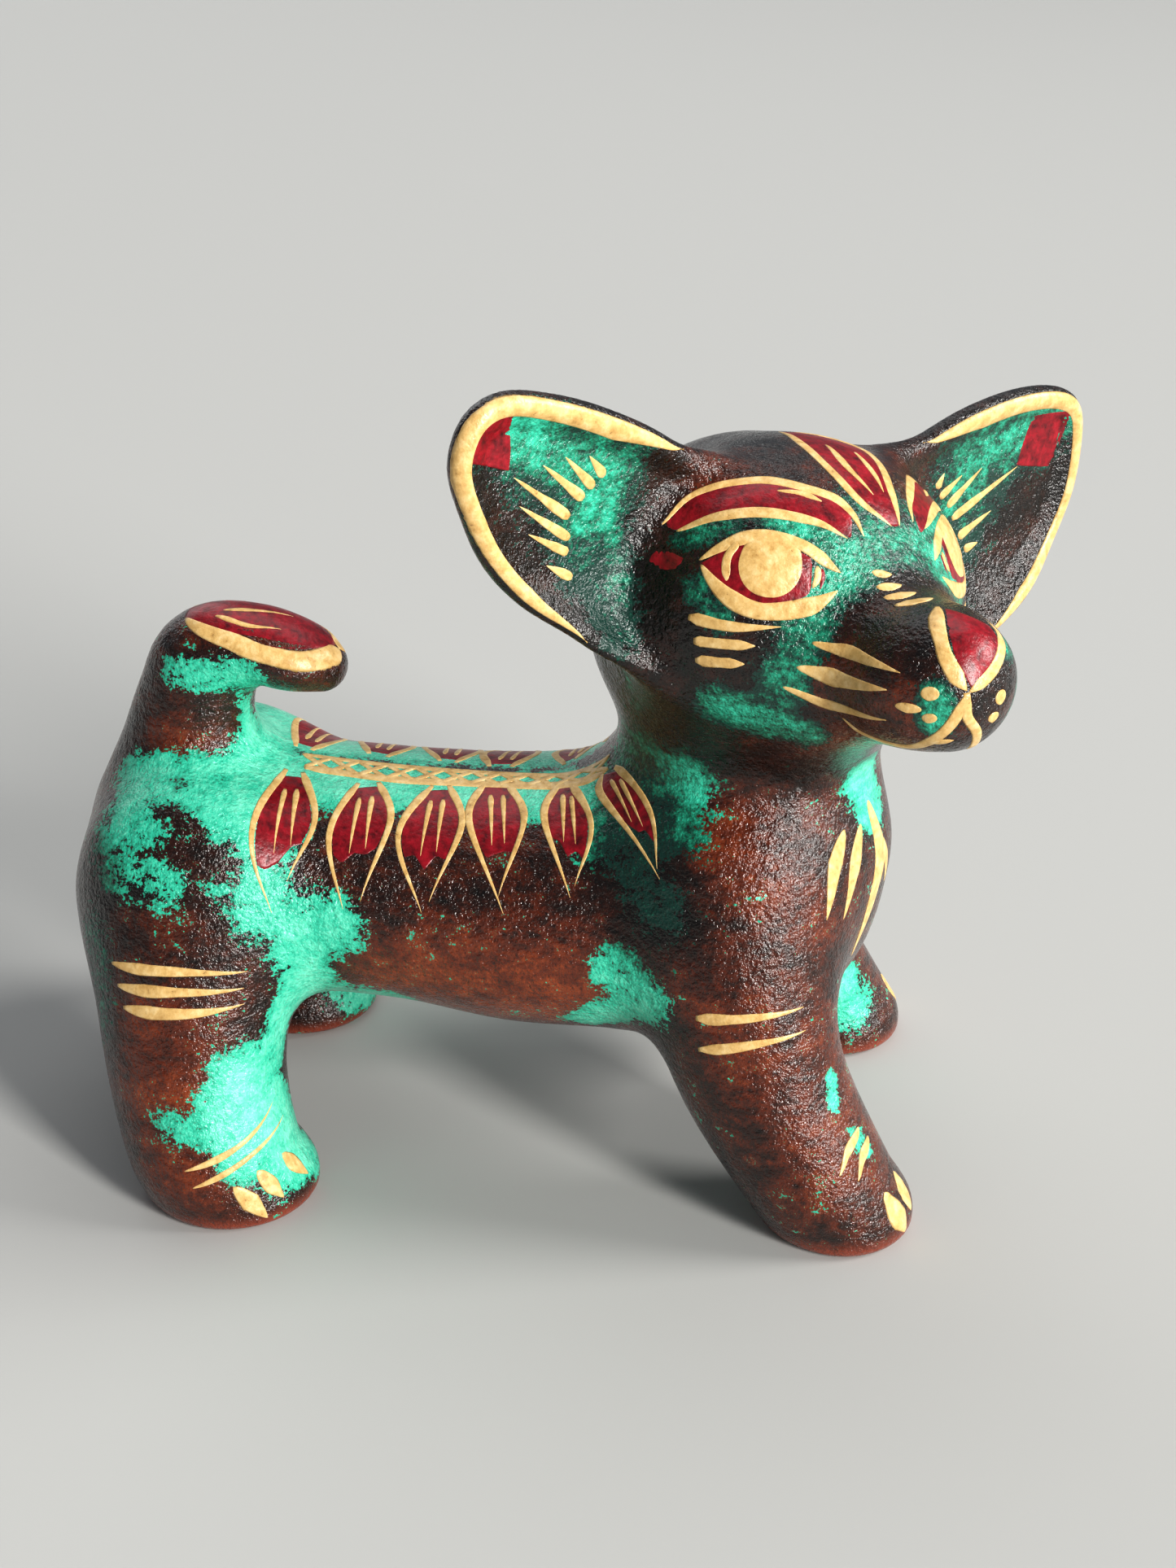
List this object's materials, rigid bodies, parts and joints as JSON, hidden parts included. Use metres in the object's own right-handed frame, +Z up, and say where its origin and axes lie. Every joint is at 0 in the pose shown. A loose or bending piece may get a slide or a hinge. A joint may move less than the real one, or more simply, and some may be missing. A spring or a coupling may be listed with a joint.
{
  "type": "clay dog figure",
  "caption": "Standing chihuahua figure in hollow fired clay, head turned to its right, upright ears and a curled tail, painted with green patina, red leaves and cream lines.",
  "frame": {"origin": "on the table, under the middle of the figure's bounding box", "axes": "+X the way the body points, +Y the dog's left, +Z up"},
  "size_m": [0.1578, 0.0812, 0.1336],
  "materials": {
    "painted_clay": "satin varnish over brown slip, green patina rubbed into it, red and cream brush lines",
    "raw_clay": "bare fired red clay, matt",
    "cream_paint": "thick cream brush paint under satin varnish",
    "red_paint": "crimson brush paint under satin varnish"
  },
  "bodies": {
    "root": {"body_half_left": "painted_clay", "body_half_right": "painted_clay", "body_seam_coil": "raw_clay", "neck": "painted_clay", "skull_back": "painted_clay", "face": "painted_clay", "head_seam_coil": "raw_clay", "muzzle": "painted_clay", "ear_left": "painted_clay", "ear_right": "painted_clay", "tail": "painted_clay", "front_leg_left": "painted_clay", "front_leg_right": "painted_clay", "hind_leg_left": "painted_clay", "hind_leg_right": "painted_clay"}
  },
  "joints": []
}
